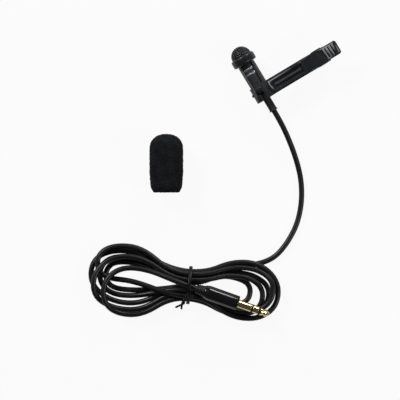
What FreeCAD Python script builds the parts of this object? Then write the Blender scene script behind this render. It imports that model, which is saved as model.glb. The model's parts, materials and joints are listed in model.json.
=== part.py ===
import FreeCAD, Part
import math
import os
import re

import Sketcher
from FreeCAD import Placement, Rotation, Vector

# Lavalier microphone with its clip, tied cable, stereo plug and foam windscreen, laid flat on a table.
# Millimetres. X runs along the clip to its finger end, Y along the head to its dome, Z up, table at zero.
# The origin is under the middle of head, clip and windscreen, leaving out the cable.

SIZES = [
    # where the head lies
    ("mic_x", 12.6),
    ("collar_y", 12.1),
    # clearances
    ("fit_gap", 0.05),
    ("running_gap", 0.05),
    ("parting_gap", 0.15),
    ("overcut", 0.2),
    # head
    ("collar_od", 10.5),
    ("collar_height", 3.5),
    ("collar_chamfer", 0.5),
    ("collar_floor", 1.2),
    ("dome_od", 8.9),
    ("dome_wall", 0.4),
    ("dome_skirt", 0.6),
    ("dome_hole", 0.95),
    ("dome_sides", 18),
    ("dome_band", 18),
    ("dome_holes_1", 6),
    ("dome_holes_2", 12),
    ("dome_holes_3", 18),
    ("dome_holes_4", 18),
    ("capsule_od", 6.0),
    ("capsule_height", 3.2),
    ("capsule_edge", 0.25),
    ("port_od", 2.2),
    ("port_depth", 0.25),
    ("holder_wall", 0.7),
    ("holder_height", 1.6),
    ("felt_od", 4.4),
    ("felt_height", 0.3),
    ("board_od", 4.1),
    ("board_height", 0.6),
    # barrel and its rear end
    ("barrel_od", 5.6),
    ("barrel_bore", 4.4),
    ("barrel_length", 12.9),
    ("neck_od", 5.0),
    ("land_od", 6.0),
    ("land_width", 0.8),
    ("land_front", 2.2),
    ("land_middle", 4.5),
    ("land_rear", 11.6),
    ("cap_flange", 1.0),
    ("cap_spigot", 1.2),
    ("cap_edge", 0.4),
    ("boot_neck_od", 3.0),
    ("boot_od", 3.3),
    ("boot_collar", 0.7),
    ("boot_step", 0.35),
    ("boot_end", 23.2),
    ("boot_lip_od", 3.7),
    ("boot_lip", 0.6),
    ("cable_od", 2.3),
    ("cable_sides", 6),
    ("cable_inner_start", 9.2),
    ("crimp_od", 3.5),
    ("crimp_width", 1.4),
    ("wire_od", 0.6),
    ("wire_spread", 1.1),
    ("wire_close", 0.45),
    # clip: sleeve and back jaw
    ("sleeve_wall", 0.7),
    ("sleeve_length", 17.2),
    ("ring_od", 8.8),
    ("ring_width", 6.9),
    ("slot_left", 66),
    ("slot_right", 31),
    ("lip_angle", 3),
    ("arm_angle", 30),
    ("arm_length", 2.8),
    ("tab_reach", 0.5),
    ("tab_width", 1.1),
    ("tab_height", 1.0),
    ("tab_offset", 0.35),
    ("jaw_width", 6.9),
    ("jaw_thickness", 1.8),
    ("jaw_end", 24.4),
    ("jaw_root", 0.5),
    ("jaw_belly", 20.5),
    ("hinge_reach", 27.4),
    ("hinge_height", 3.2),
    ("pin_od", 1.2),
    ("ear_od", 3.6),
    ("ear_thickness", 1.0),
    ("ear_root", 0.3),
    ("ear_shoulder", 0.5),
    ("hinge_width", 7.2),
    ("saddle_depth", 2.05),
    ("saddle_length", 2.2),
    ("web_thickness", 1.45),
    ("foot_reach", 31.9),
    ("foot_height", -1.6),
    ("foot_thickness", 1.4),
    ("foot_slant", 0.5),
    ("spring_room", 0.3),
    ("tooth_pitch", 1.2),
    ("tooth_gap", 0.84),
    ("tooth_depth", 0.4),
    ("tooth_start", 6.6),
    ("tooth_count", 12),
    # clip: front lever
    ("lever_tip", 2.2),
    ("lever_width", 5.6),
    ("lever_thickness", 1.9),
    ("lever_nose", 0.9),
    ("nose_length", 2.1),
    ("nose_radius", 2.66),
    ("throat", 1.0),
    ("neck_start", 19.2),
    ("neck_flare", 17.0),
    ("neck_radius", 24),
    ("pad_start", 26.0),
    ("pad_end", 36.3),
    ("pad_width", 6.2),
    ("pad_thickness", 1.7),
    ("pad_height", 8.4),
    ("pad_rise", 1.8),
    ("pad_corner", 1.0),
    ("pad_groove_start", 29.2),
    ("pad_groove_pitch", 1.38),
    ("pad_groove_count", 5),
    ("pad_groove_width", 0.55),
    ("pad_groove_depth", 0.4),
    ("pad_rim", 0.9),
    ("recess_start", 3.7),
    ("recess_width", 3.9),
    ("recess_depth", 0.75),
    ("ridge_start", 5.5),
    ("ridge_end", 18.2),
    ("ridge_width", 0.7),
    ("spring_wire", 0.45),
    ("spring_od", 2.7),
    ("spring_pitch", 0.95),
    ("spring_low", 105),
    ("spring_turn", 850),
    ("spring_leg_low", 3.9),
    ("spring_leg_high", 5.3),
    # windscreen
    ("screen_x", -38.1),
    ("screen_y", -6.75),
    ("screen_turn", 59),
    ("screen_od", 14.4),
    ("screen_length", 25),
    ("screen_foot_od", 12.9),
    ("screen_flare", 6),
    ("screen_corner", 0.7),
    ("screen_bands", 3),
    ("screen_bore", 8.4),
    ("screen_depth", 16),
    # hank: outermost loop at the cable's centre, from the tie
    ("tie_x", -56.4),
    ("tie_y", -56.2),
    ("hank_turn", 36),
    ("hank_gap", 0.45),
    ("hank_right", 37.6),
    ("hank_left", 42),
    ("crest_right", 22.3),
    ("crest_left", 26.6),
    ("lobe_right", 12),
    ("lobe_left", 14.4),
    ("waist_half", 7.85),
    ("waist_lift", 1.15),
    ("lead_run", 6),
    ("band_width", 1.7),
    ("band_thickness", 0.85),
    ("band_gap", 0.2),
    ("twist_wire", 0.9),
    ("twist_turns", 1.25),
    ("twist_pitch", 3.4),
    ("twist_start_y", -4.6),
    ("twist_start_z", 9.3),
    ("twist_x", -3.0),
    ("twist_y", -6.0),
    ("twist_z", -1.6),
    ("tail_dip", 0.4),
    ("tail_left", -38),
    ("tail_right", 22),
    ("tail_length", 3.6),
    # plug
    ("plug_x", 2.87),
    ("plug_y", -1.05),
    ("plug_z", 9.0),
    ("plug_turn", 14.6),
    ("plug_dip", 2),
    ("relief_length", 5.3),
    ("relief_od", 3.6),
    ("relief_end_od", 4.6),
    ("relief_groove", 0.35),
    ("relief_groove_width", 0.7),
    ("relief_grooves", 3),
    ("handle_od", 6.3),
    ("handle_back_od", 5.2),
    ("handle_length", 13.7),
    ("handle_taper", 1.6),
    ("handle_chamfer", 0.4),
    ("pin_plug_od", 3.5),
    ("contact_sleeve", 6.0),
    ("contact_ring", 2.4),
    ("contact_gap", 0.8),
    ("contact_tip", 4.0),
    ("tip_od", 3.3),
    ("tip_neck_od", 2.3),
    ("tip_waist_share", 0.36),
    ("tip_shoulder_share", 0.6),
    ("tip_nose_od", 1.0),
    ("tip_rod_od", 0.9),
]

# The cable's way from the boot to the hank, chosen by eye; the last point is worked out at the hank.
LEAD_POINTS = [
    (12.6, -15.9, 5.25),
    (12.0, -23.5, 3.7),
    (10.35, -33.2, 1.7),
    (7.5, -42.5, 1.15),
    (2.7, -50.8, 1.15),
    (-3.6, -57.6, 1.15),
    (-10.8, -62.0, 1.15),
    (-17.8, -64.6, 1.15),
]

# The hank has eight stations to a loop: crest, waist, crest and lobe end, on the far side and on the near.
LOOP_STOPS = 40
REVERSAL = 20

doc = FreeCAD.newDocument("lavalier_microphone")
sheet = doc.addObject("Spreadsheet::Sheet", "Sizes")
for row, (alias, number) in enumerate(SIZES, start=1):
    sheet.set(f"A{row}", alias)
    sheet.set(f"B{row}", str(number))
    sheet.setAlias(f"B{row}", alias)
doc.recompute()

ALIASES = {alias for alias, number in SIZES}
PARTS = []


def bound(formula):
    """The formula with each size's name pointing into the sheet."""
    return re.sub(r"[a-z][a-z_0-9]+", lambda m: "Sizes." + m[0] if m[0] in ALIASES else m[0], formula)


def number(formula):
    return float(sheet.evalExpression(bound(formula)))


def keep(piece, label):
    piece.Label = label
    PARTS.append(piece)
    return piece


# Formulas that several pieces share

axis_z = "collar_od / 2"
sleeve_bore = "(land_od / 2 + running_gap)"
sleeve_r = f"({sleeve_bore} + sleeve_wall)"
clip_y = "(collar_y - parting_gap - sleeve_length + ring_width / 2)"
jaw_top = "(ring_od / 2)"
lever_bottom = f"({jaw_top} + parting_gap)"
lever_top = f"({lever_bottom} + lever_thickness)"
clip_tilt = f"(atan2(foot_height; foot_reach) + asin({axis_z} / hypot(foot_height; foot_reach)))"
saddle = "(hinge_height - saddle_depth)"
pin_hole_r = "(pin_od / 2 + running_gap)"
ear_out = "(hinge_width / 2 - ear_thickness)"
ear_in = f"({ear_out} - parting_gap - ear_thickness)"
ear_back, ear_front = "(hinge_reach - ear_od / 2)", "(hinge_reach + ear_od / 2)"


# Sketches and features


def plane_of(body, role):
    return next(f for f in body.Origin.OriginFeatures if f.Role == role)


def place(piece, x, y, z, turn_axis=None, turn=None):
    """Puts a piece at formulas for its base, turned about one axis by a formula in degrees."""
    if turn_axis:
        piece.Placement = Placement(Vector(), Rotation(Vector(*turn_axis), 1))
        piece.setExpression("Placement.Rotation.Angle", bound(turn))
    for letter, formula in zip("xyz", (x, y, z)):
        piece.setExpression(f"Placement.Base.{letter}", bound(formula))


def outline(sketch, corners):
    """A closed outline. Its corners are (x, y), or (x, y, radius) for an arc, turning left if positive."""
    points = [Vector(number(c[0]), number(c[1]), 0) for c in corners]
    ends = []
    for i, corner in enumerate(corners):
        here, before = points[i], points[i - 1]
        if len(corner) == 2:
            geo = sketch.addGeometry(Part.LineSegment(before, here), False)
            ends.append((geo, 1, 2))
            continue
        radius = number(corner[2])
        half = (here - before) / 2
        rise = math.sqrt(max(0.0, radius**2 - half.Length**2))
        side = Vector(-half.y, half.x, 0).normalize() * (rise if radius > 0 else -rise)
        centre = before + half + side
        a, b = (before, here) if radius > 0 else (here, before)
        angles = [math.atan2(p.y - centre.y, p.x - centre.x) for p in (a, b)]
        circle = Part.Circle(centre, Vector(0, 0, 1), abs(radius))
        geo = sketch.addGeometry(Part.ArcOfCircle(circle, angles[0], angles[1]), False)
        ends.append((geo, 1, 2) if radius > 0 else (geo, 2, 1))
        size = sketch.addConstraint(Sketcher.Constraint("Radius", geo, abs(radius)))
        sketch.setExpression(f"Constraints[{size}]", bound(f"abs({corner[2]})"))
    for i, (geo, start, end) in enumerate(ends):
        before = ends[i - 1]
        sketch.addConstraint(Sketcher.Constraint("Coincident", before[0], before[2], geo, start))
        for kind, formula, value in (
            ("DistanceX", corners[i][0], points[i].x),
            ("DistanceY", corners[i][1], points[i].y),
        ):
            size = sketch.addConstraint(Sketcher.Constraint(kind, -1, 1, geo, end, value))
            sketch.setExpression(f"Constraints[{size}]", bound(formula))


def ring_line(sketch, x, y, radius):
    """A full circle at (x, y)."""
    circle = Part.Circle(Vector(number(x), number(y), 0), Vector(0, 0, 1), number(radius))
    geo = sketch.addGeometry(circle, False)
    size = sketch.addConstraint(Sketcher.Constraint("Radius", geo, number(radius)))
    sketch.setExpression(f"Constraints[{size}]", bound(radius))
    for kind, formula in (("DistanceX", x), ("DistanceY", y)):
        size = sketch.addConstraint(Sketcher.Constraint(kind, -1, 1, geo, 3, number(formula)))
        sketch.setExpression(f"Constraints[{size}]", bound(formula))


def sketch_on(body, name, role, loops, height="0"):
    sketch = body.newObject("Sketcher::SketchObject", name)
    sketch.AttachmentSupport = [(plane_of(body, role), "")]
    sketch.MapMode = "FlatFace"
    sketch.setExpression("AttachmentOffset.Base.z", bound(height))
    for loop in loops:
        if isinstance(loop, tuple):
            ring_line(sketch, *loop)
        else:
            outline(sketch, loop)
    return sketch


def pad(body, name, role, loops, length, height="0", both=False, back=False):
    feature = body.newObject("PartDesign::Pad", name)
    feature.Profile = sketch_on(body, name + "_lines", role, loops, height)
    feature.setExpression("Length", bound(length))
    feature.Midplane = both
    feature.Reversed = back
    return feature


def pocket(body, name, role, loops, length=None, height="0", both=False, back=False):
    """Cuts to a depth, or right through where no length is given."""
    feature = body.newObject("PartDesign::Pocket", name)
    feature.Profile = sketch_on(body, name + "_lines", role, loops, height)
    if length is None:
        feature.Type = "ThroughAll"
    else:
        feature.setExpression("Length", bound(length))
    feature.Midplane = both
    feature.Reversed = back
    return feature


def along_x(body, feature, pitch, count):
    row = body.newObject("PartDesign::LinearPattern", feature.Name + "_row")
    row.Originals = [feature]
    row.Direction = (plane_of(body, "X_Axis"), [""])
    row.setExpression("Length", bound(f"({pitch}) * ({count} - 1)"))
    row.setExpression("Occurrences", bound(count))
    body.Tip = row
    return row


def turned(label, corners):
    """A turned piece: the outline is (radius, height) and turns about the piece's own Y axis."""
    body = doc.addObject("PartDesign::Body", label)
    lines = sketch_on(body, label + "_lines", "XY_Plane", [corners])
    feature = body.newObject("PartDesign::Revolution", label + "_turned")
    feature.Profile = lines
    feature.ReferenceAxis = (lines, ["V_Axis"])
    feature.Angle = 360
    return keep(body, label)


def on_head(piece):
    place(piece, "mic_x", "collar_y", axis_z)
    return piece


# Wound and routed tubes


def arc_between(start, heading, end):
    """The arc that leaves start along heading and reaches end."""
    chord = end - start
    along = chord.normalize() * 1.0
    length = (end - start).Length
    side = heading - along * heading.dot(along)
    if side.Length < 1e-7:
        return Part.LineSegment(start, end).toShape()
    angle = math.acos(max(-1.0, min(1.0, heading.dot(along))))
    top = (start + end) / 2 + side.normalize() * (length / 2 * math.tan(angle / 2))
    return Part.Arc(start, top, end).toShape()


def biarc(start, heading, end, arrival, share=1.0):
    """Two arcs that meet smoothly; share is the first one's tangent length over the second one's."""
    reach = end - start
    lean = heading * share + arrival
    a = (share + 1) ** 2 - lean.dot(lean)
    b = 2 * reach.dot(lean)
    c = -reach.dot(reach)
    second = -c / b if abs(a) < 1e-9 else (-b + math.sqrt(b * b - 4 * a * c)) / (2 * a)
    first = share * second
    corner_a = start + heading * first
    corner_b = end - arrival * second
    meet = corner_a + (corner_b - corner_a) * (share / (1 + share))
    middle = (corner_b - corner_a).normalize()
    return [arc_between(start, heading, meet), arc_between(meet, middle, end)]


def chained(stations):
    """Smooth arcs through stations, each a point with its heading."""
    edges = []
    for (a, go), (b, arrive) in zip(stations, stations[1:]):
        edges += biarc(a, go, b, arrive)
    return edges


def helix(start, axis, out, radius, pitch, turn):
    """Stations up to a quarter turn apart on a helix; its ends head square to the axis."""
    side = axis.cross(out)
    count = math.ceil(turn / (math.pi / 2) - 1e-6)
    stations = []
    for i in range(count + 1):
        angle = turn * i / count
        point = start + axis * (pitch * angle / (2 * math.pi))
        point += (out * math.cos(angle) + side * math.sin(angle)) * radius
        heading = (side * math.cos(angle) - out * math.sin(angle)) * radius
        if 0 < i < count:
            heading += axis * (pitch / (2 * math.pi))
        stations.append((point, heading.normalize()))
    return stations


def least_gap(points, diameter):
    """The least gap between stretches of one tube that lie well apart along it."""
    spacing = (points[1] - points[0]).Length
    apart = int(4 * diameter / spacing) + 1
    best = 1e9
    for i, p in enumerate(points):
        for q in points[i + apart:]:
            d = (p.x - q.x) ** 2 + (p.y - q.y) ** 2 + (p.z - q.z) ** 2
            best = min(best, d)
    return math.sqrt(best) - diameter


def routed(points):
    """Straight runs joined by arcs as large as the runs beside each corner allow, with their radii."""
    edges, radii, last = [], [], points[0]
    for before, corner, after in zip(points, points[1:], points[2:]):
        back, ahead = before - corner, after - corner
        turn = math.pi - back.getAngle(ahead)
        tangent = 0.45 * min(back.Length, ahead.Length)
        radii.append(tangent / math.tan(turn / 2))
        start = corner + back.normalize() * tangent
        end = corner + ahead.normalize() * tangent
        edges.append(Part.LineSegment(last, start).toShape())
        edges.append(arc_between(start, (corner - start).normalize(), end))
        last = end
    edges.append(Part.LineSegment(last, points[-1]).toShape())
    return edges, radii


def tube(edges, diameter, sides=0):
    """A tube along the edges, round or with flat sides, one of them down."""
    wire = Part.Wire(edges)
    first = wire.Edges[0]
    start = first.valueAt(first.FirstParameter)
    heading = first.tangentAt(first.FirstParameter)
    if sides:
        down = Vector(0, 0, 1) if abs(heading.z) < 0.9 else Vector(1, 0, 0)
        across = heading.cross(down).normalize()
        up = across.cross(heading).normalize()
        turns = [2 * math.pi * (i + 0.5) / sides - math.pi / 2 for i in range(sides + 1)]
        ring = [start + (across * math.cos(t) + up * math.sin(t)) * (diameter / 2) for t in turns]
        section = Part.makePolygon(ring)
    else:
        section = Part.Wire(Part.Circle(start, heading, diameter / 2).toShape())
    solid = wire.makePipeShell([section], True, False)
    expected = Part.Face(section).Area * wire.Length
    return solid, wire.Length, expected


def formed(label, shape):
    """A piece whose shape is worked out here, with its own Placement."""
    feature = doc.addObject("Part::Feature", label)
    feature.Shape = shape
    return keep(feature, label)


# Head


def make_head():
    floor = "collar_floor"
    holder_r = "(capsule_od / 2 + holder_wall)"
    rim = "(collar_height - dome_skirt)"
    collar_r = "collar_od / 2"
    seat_r = "(dome_od / 2 + fit_gap)"
    on_head(turned("collar_ring", [
        ("neck_od / 2 + fit_gap", "0"),
        (f"{collar_r} - collar_chamfer", "0"),
        (collar_r, "collar_chamfer"),
        (collar_r, "collar_height - collar_chamfer"),
        (f"{collar_r} - collar_chamfer", "collar_height"),
        (seat_r, "collar_height"),
        (seat_r, rim),
        (f"{holder_r} + fit_gap", rim),
        (f"{holder_r} + fit_gap", floor),
        ("neck_od / 2 + fit_gap", floor),
    ]))
    make_dome()
    can_top = f"({floor} + capsule_height)"
    can_r = "capsule_od / 2"
    on_head(turned("capsule_can", [
        ("0", floor),
        (can_r, floor),
        (can_r, f"{can_top} - capsule_edge"),
        (f"{can_r} - capsule_edge", can_top),
        ("port_od / 2", can_top),
        ("port_od / 2", f"{can_top} - port_depth"),
        ("0", f"{can_top} - port_depth"),
    ]))
    on_head(turned("capsule_felt", [
        ("0", can_top),
        ("felt_od / 2", can_top),
        ("felt_od / 2", f"{can_top} + felt_height"),
        ("0", f"{can_top} + felt_height"),
    ]))
    on_head(turned("capsule_holder", [
        (can_r, floor),
        (holder_r, floor),
        (holder_r, f"{floor} + holder_height"),
        (can_r, f"{floor} + holder_height"),
    ]))
    on_head(turned("capsule_board", [
        ("0", f"{floor} - board_height"),
        ("board_od / 2", f"{floor} - board_height"),
        ("board_od / 2", floor),
        ("0", floor),
    ]))


def dome_ring(radius, lean):
    """The corners of one ring of the dome's flat facets, at a lean from its top."""
    sides = int(number("dome_sides"))
    turns = [360 * (k + 0.5) / sides for k in range(sides)]
    return [(f"{radius} * sin({lean}) * cos({a})", f"{radius} * sin({lean}) * sin({a})") for a in turns]


def make_dome():
    """The perforated dome: bands of flat facets, each with a ring of six-sided holes along its middle."""
    dome = doc.addObject("PartDesign::Body", "grille_dome")
    leans = ["90", "90"] + [f"(dome_band * {k})" for k in (4.5, 3.5, 2.5, 1.5, 0.5)]
    for kind, radius, skirt in (
        ("Additive", "(dome_od / 2)", "dome_skirt"),
        ("Subtractive", "(dome_od / 2 - dome_wall)", "(dome_skirt + dome_wall)"),
    ):
        heights = [skirt] + [f"-{radius} * cos({lean})" for lean in leans[1:]]
        rings = [
            sketch_on(dome, f"{kind}_ring_{i}", "XZ_Plane", [dome_ring(radius, lean)], height)
            for i, (lean, height) in enumerate(zip(leans, heights))
        ]
        loft = dome.newObject(f"PartDesign::{kind}Loft", f"dome_{kind.lower()}")
        loft.Profile = rings[0]
        loft.Sections = rings[1:]
        loft.Ruled = True
    keep(dome, "grille_dome")
    hole = [(f"dome_hole / 2 * cos({60 * k})", f"dome_hole / 2 * sin({60 * k})") for k in range(6)]
    reach = "(dome_od / 2 - 3 * dome_wall)"
    for ring in range(5):
        lean = f"(dome_band * {ring})"
        drill = pocket(dome, f"hole_{ring}", "XZ_Plane", [hole], "dome_wall * 6")
        lines = drill.Profile[0]
        lines.AttachmentOffset = Placement(Vector(), Rotation(Vector(1, 0, 0), 1))
        lines.setExpression("AttachmentOffset.Rotation.Angle", bound(lean))
        lines.setExpression("AttachmentOffset.Base.y", bound(f"{reach} * sin({lean})"))
        lines.setExpression("AttachmentOffset.Base.z", bound(f"-{reach} * cos({lean})"))
        if ring:
            row = dome.newObject("PartDesign::PolarPattern", f"holes_{ring}")
            row.Originals = [drill]
            row.Axis = (plane_of(dome, "Y_Axis"), [""])
            row.Angle = 360
            row.setExpression("Occurrences", bound(f"dome_holes_{ring}"))
            dome.Tip = row
    place(dome, "mic_x", "collar_y + collar_height", axis_z)


# Barrel and rear end


def make_barrel():
    r, land_r = "barrel_od / 2", "land_od / 2"
    end = "-barrel_length"
    corners = [("barrel_bore / 2", "collar_floor"), ("barrel_bore / 2", end), (r, end)]
    for land in ("land_rear", "land_middle", "land_front"):
        corners += [
            (r, f"-{land} - land_width"),
            (land_r, f"-{land} - land_width"),
            (land_r, f"-{land}"),
            (r, f"-{land}"),
        ]
    corners += [(r, "0"), ("neck_od / 2", "0"), ("neck_od / 2", "collar_floor")]
    on_head(turned("barrel", corners))

    hole = "boot_neck_od / 2 + fit_gap"
    spigot = "barrel_bore / 2 - fit_gap"
    face = "-barrel_length - cap_flange"
    on_head(turned("end_cap", [
        (hole, face),
        (f"{r} - cap_edge", face),
        (r, f"{face} + cap_edge"),
        (r, end),
        (spigot, end),
        (spigot, f"{end} + cap_spigot"),
        (hole, f"{end} + cap_spigot"),
    ]))

    bore = "cable_od / 2 + fit_gap"
    inside = "-barrel_length + cap_spigot"
    on_head(turned("strain_relief_boot", [
        (bore, "-boot_end"),
        ("boot_od / 2", "-boot_end"),
        ("boot_od / 2", f"({face}) - boot_collar"),
        ("boot_od / 2 + boot_step", f"({face}) - boot_collar"),
        ("boot_od / 2 + boot_step", face),
        ("boot_neck_od / 2", face),
        ("boot_neck_od / 2", inside),
        ("boot_lip_od / 2", inside),
        ("boot_lip_od / 2", f"{inside} + boot_lip"),
        (bore, f"{inside} + boot_lip"),
    ]))
    top = f"({inside} + boot_lip)"
    on_head(turned("cable_crimp", [
        (bore, top),
        ("crimp_od / 2", top),
        ("crimp_od / 2", f"{top} + crimp_width"),
        (bore, f"{top} + crimp_width"),
    ]))

    start = number("cable_inner_start")
    end_y = number("boot_end")
    line = Part.LineSegment(Vector(0, -start, 0), Vector(0, -end_y, 0)).toShape()
    sides = int(number("cable_sides"))
    on_head(formed("cable_inner_end", tube([line], number("cable_od"), sides)[0]))

    pad_y = number("collar_floor - board_height")
    spread, close, wire = number("wire_spread"), number("wire_close"), number("wire_od")
    for label, side in (("signal_wire", 1), ("shield_wire", -1)):
        low, high = Vector(side * close, -start, 0), Vector(side * spread, pad_y, 0)
        up = Vector(0, 1, 0)
        on_head(formed(label, tube(biarc(low, up, high, up), wire, 6)[0]))


# Clip


def make_clip():
    make_jaw()
    make_lever()
    make_hinge()


def at_clip(piece):
    place(piece, "mic_x", clip_y, axis_z, (0, 1, 0), clip_tilt)
    return piece


def wedge(left, right):
    """A three-cornered cut from the bore's centre, between two angles from straight up."""
    return [
        ("0", "0"),
        (f"ring_od * sin({right})", f"ring_od * cos({right})"),
        (f"-ring_od * sin({left})", f"ring_od * cos({left})"),
    ]


def ear_lines(base, above=False):
    """An ear round the pin that stands on a base height, or hangs from one above it."""
    r = "ear_od / 2"
    left, right, far = f"hinge_reach - {r}", f"hinge_reach + {r}", f"hinge_height + {r}"
    if above:
        left, right, far = right, left, f"hinge_height - {r}"
    return [
        (left, base),
        (right, base),
        (right, "hinge_height"),
        ("hinge_reach", far, r),
        (left, "hinge_height", r),
    ]


def make_jaw():
    body = doc.addObject("PartDesign::Body", "clip_jaw")
    belly = f"({jaw_top} - jaw_thickness)"
    web = f"({saddle} - web_thickness)"
    saddle_start, saddle_end = "hinge_reach - saddle_length", "hinge_reach + saddle_length"
    ear_top = "(hinge_height + ear_od / 2 + overcut)"
    pad(body, "jaw_side", "XZ_Plane", [[
        ("jaw_root", jaw_top),
        ("jaw_root", belly),
        ("jaw_belly", belly),
        (saddle_start, web),
        ("foot_reach", "foot_height"),
        ("foot_reach + foot_slant", "foot_height + foot_thickness"),
        (saddle_end, saddle),
        (saddle_start, saddle),
        ("jaw_end", jaw_top),
    ]], "jaw_width", both=True)
    pad(body, "jaw_ears", "XZ_Plane", [ear_lines(f"{saddle} - ear_root")],
        f"2 * ({ear_out} - parting_gap)", both=True)
    pad(body, "holder_ring", "XZ_Plane", [("0", "0", "ring_od / 2")], "ring_width", both=True)
    sleeve_rest = "sleeve_length - ring_width / 2"
    pad(body, "holder_sleeve", "XZ_Plane", [("0", "0", sleeve_r)], sleeve_rest, back=True)
    tab_r = "ring_od / 2"
    pad(body, "ring_tab", "XZ_Plane", [[
        (f"-{tab_r} - tab_reach", "-tab_height / 2"),
        (f"-{tab_r} + tab_reach", "-tab_height / 2"),
        (f"-{tab_r} + tab_reach", "tab_height / 2"),
        (f"-{tab_r} - tab_reach", "tab_height / 2"),
    ]], "tab_width", height="-tab_offset - tab_width / 2")
    pocket(body, "holder_bore", "XZ_Plane", [("0", "0", sleeve_bore)], both=True)
    ring_half = "ring_width / 2"
    pocket(body, "sleeve_slot", "XZ_Plane", [wedge("slot_left", "slot_right")],
           height=f"-{ring_half}", back=False)
    pocket(body, "ring_slot", "XZ_Plane", [wedge("slot_left", "-lip_angle")],
           "ring_width - arm_length", height=f"-{ring_half}", back=True)
    pocket(body, "arm_slot", "XZ_Plane", [wedge("arm_angle", "-lip_angle")], both=True)
    pocket(body, "spring_space", "XZ_Plane", [[
        ("jaw_end + spring_room", saddle),
        (saddle_end, saddle),
        (saddle_end, ear_top),
        ("jaw_end + spring_room", ear_top),
    ]], f"2 * {ear_in}", both=True)
    pocket(body, "pin_bore", "XZ_Plane", [("hinge_reach", "hinge_height", "pin_od / 2")], both=True)
    tooth = pocket(body, "tooth", "XZ_Plane", [[
        ("tooth_start", jaw_top),
        ("tooth_start + tooth_gap / 2", f"{jaw_top} - tooth_depth"),
        ("tooth_start + tooth_gap", jaw_top),
    ]], both=True)
    along_x(body, tooth, "tooth_pitch", "tooth_count")
    at_clip(keep(body, "clip_jaw"))


def make_lever():
    body = doc.addObject("PartDesign::Body", "clip_lever")
    pad_low, pad_high = "(pad_height - pad_thickness)", "pad_height"
    slope = "(pad_rise / (pad_end - pad_start))"
    pad(body, "lever_side", "XZ_Plane", [[
        ("lever_tip", lever_bottom),
        ("jaw_end - throat", lever_bottom),
        (f"{ear_back} - parting_gap", f"{lever_bottom} + throat"),
        (f"{ear_back} + ear_od / 2", pad_low),
        ("pad_end", f"{pad_low} + pad_rise"),
        ("pad_end", f"{pad_high} + pad_rise"),
        ("pad_start", pad_high),
        ("neck_start", lever_top),
        ("lever_tip + lever_nose", lever_top),
        ("lever_tip", f"{lever_top} - lever_nose"),
    ]], "hinge_width", both=True)
    pad(body, "lever_ears", "XZ_Plane", [ear_lines(f"{pad_low} + ear_root", above=True)],
        "hinge_width", both=True)
    pocket(body, "ear_space", "XZ_Plane", [[
        ("hinge_reach - ear_od", "hinge_height - ear_od"),
        ("hinge_reach + ear_od", "hinge_height - ear_od"),
        ("hinge_reach + ear_od", f"{pad_low} - ear_root"),
        (f"{ear_back} - ear_root", f"{pad_low} - 3 * ear_root"),
        (f"{ear_back} - ear_root", lever_bottom),
        ("hinge_reach - ear_od", lever_bottom),
    ]], f"2 * {ear_out}", both=True)
    half, wide, pad_half = "lever_width / 2", "hinge_width / 2", "pad_width / 2"
    far = "hinge_width"
    for side, name in ((1, "left"), (-1, "right")):
        sign = "" if side > 0 else "-"
        turn = "-" if side > 0 else ""
        pocket(body, f"outline_{name}", "XY_Plane", [[
            ("lever_tip - overcut", f"{sign}{far}"),
            ("lever_tip - overcut", "0"),
            ("lever_tip", "0"),
            ("lever_tip + nose_length", f"{sign}{half}", f"{turn}nose_radius"),
            ("neck_flare", f"{sign}{half}"),
            (ear_back, f"{sign}{wide}", f"{sign}neck_radius"),
            (ear_front, f"{sign}{wide}"),
            (f"{ear_front} + ear_shoulder", f"{sign}{pad_half}"),
            ("pad_end - pad_corner", f"{sign}{pad_half}"),
            ("pad_end", f"{sign}({pad_half} - pad_corner)", f"{turn}pad_corner"),
            ("pad_end + overcut", f"{sign}({pad_half} - pad_corner)"),
            ("pad_end + overcut", f"{sign}{far}"),
        ]], both=True)
    floor = f"{lever_top} - recess_depth"
    end = "neck_start"
    w, ridge = "recess_width / 2", "ridge_width / 2"
    pocket(body, "recess", "XY_Plane", [
        [
            ("recess_start", "0", w),
            (f"recess_start + {w}", f"-{w}", w),
            (end, f"-{w}"),
            (end, w),
            (f"recess_start + {w}", w),
        ],
        [
            ("ridge_start", f"-{ridge}"),
            ("ridge_end", f"-{ridge}"),
            ("ridge_end", ridge),
            ("ridge_start", ridge),
        ],
    ], height=floor, back=True)
    grooves = []
    for i in range(int(number("pad_groove_count"))):
        near = f"(pad_groove_start + pad_groove_pitch * {i})"
        far_side = f"({near} + pad_groove_width)"
        near_top, far_top = (f"({pad_high} + ({x} - pad_start) * {slope})" for x in (near, far_side))
        grooves.append([
            (near, f"{near_top} - pad_groove_depth"),
            (far_side, f"{far_top} - pad_groove_depth"),
            (far_side, f"{far_top} + overcut"),
            (near, f"{near_top} + overcut"),
        ])
    pocket(body, "pad_grooves", "XZ_Plane", grooves, "pad_width - 2 * pad_rim", both=True)
    pocket(body, "lever_pin_bore", "XZ_Plane", [("hinge_reach", "hinge_height", pin_hole_r)], both=True)
    tooth = pocket(body, "lever_tooth", "XZ_Plane", [[
        ("tooth_start", lever_bottom),
        ("tooth_start + tooth_gap", lever_bottom),
        ("tooth_start + tooth_gap / 2", f"{lever_bottom} + tooth_depth"),
    ]], both=True)
    along_x(body, tooth, "tooth_pitch", "tooth_count")
    at_clip(keep(body, "clip_lever"))


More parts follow.
